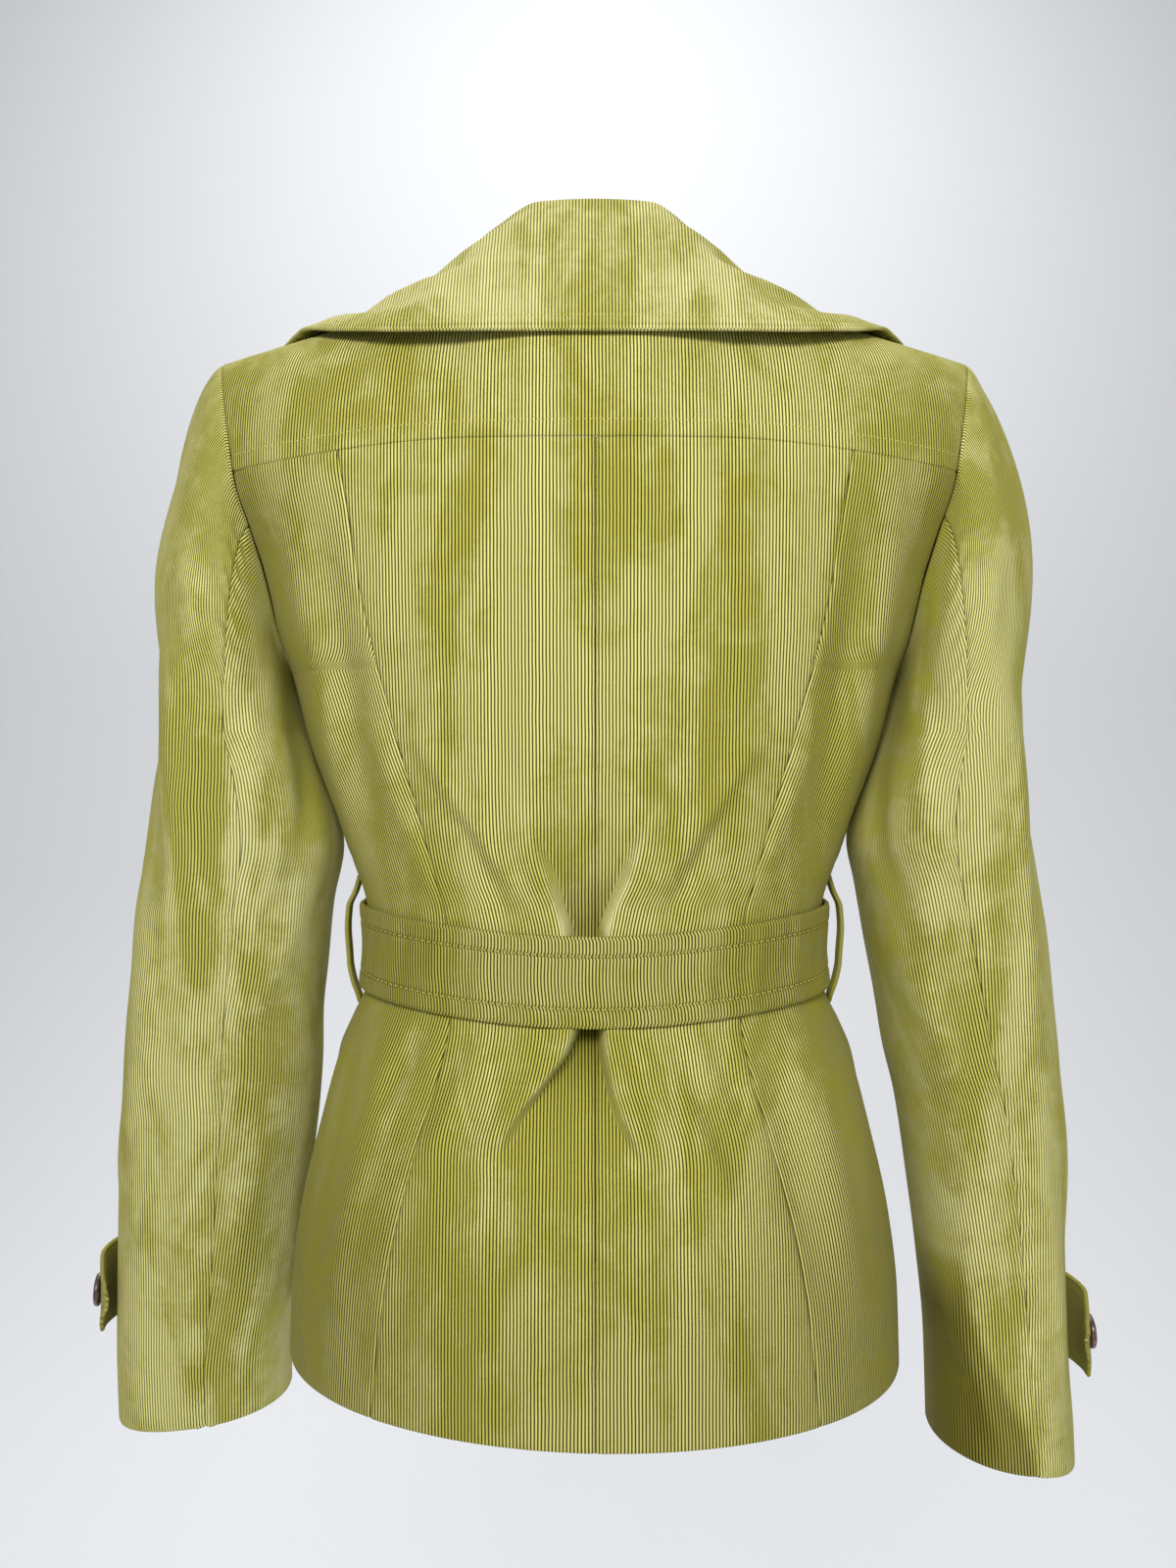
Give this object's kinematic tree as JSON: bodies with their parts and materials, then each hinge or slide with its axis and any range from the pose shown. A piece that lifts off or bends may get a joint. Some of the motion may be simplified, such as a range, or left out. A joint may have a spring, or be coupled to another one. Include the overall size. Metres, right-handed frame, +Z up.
{
  "type": "belted corduroy jacket",
  "caption": "Woman's hip-length belted corduroy jacket with a wide turned-down collar, back yoke, gathered waist, long sleeves and pointed cuff tabs, hollow as worn.",
  "frame": {"origin": "midway between the shoulders at the height of the side neck points, where the wearer carries it", "axes": "+Z up, -Y is the jacket's front and +Y its back, +X towards the wearer's left"},
  "size_m": [0.5894, 0.2489, 0.7013],
  "materials": {
    "corduroy": "fine ribbed velvet pile",
    "horn": "polished"
  },
  "bodies": {
    "root": {"yoke": "corduroy", "back_left": "corduroy", "back_right": "corduroy", "side_back_left": "corduroy", "side_back_right": "corduroy", "front_left": "corduroy", "front_right": "corduroy", "collar": "corduroy", "sleeve_left_outer": "corduroy", "sleeve_left_under": "corduroy", "sleeve_right_outer": "corduroy", "sleeve_right_under": "corduroy", "cuff_tab_left": "corduroy", "cuff_tab_right": "corduroy", "belt_back": "corduroy", "belt_front": "corduroy", "belt_end": "corduroy", "belt_loop_left": "corduroy", "belt_loop_right": "corduroy", "belt_buckle": "horn", "cuff_button_left": "horn", "cuff_button_right": "horn", "front_button_1": "horn", "front_button_2": "horn", "front_button_3": "horn"}
  },
  "joints": []
}
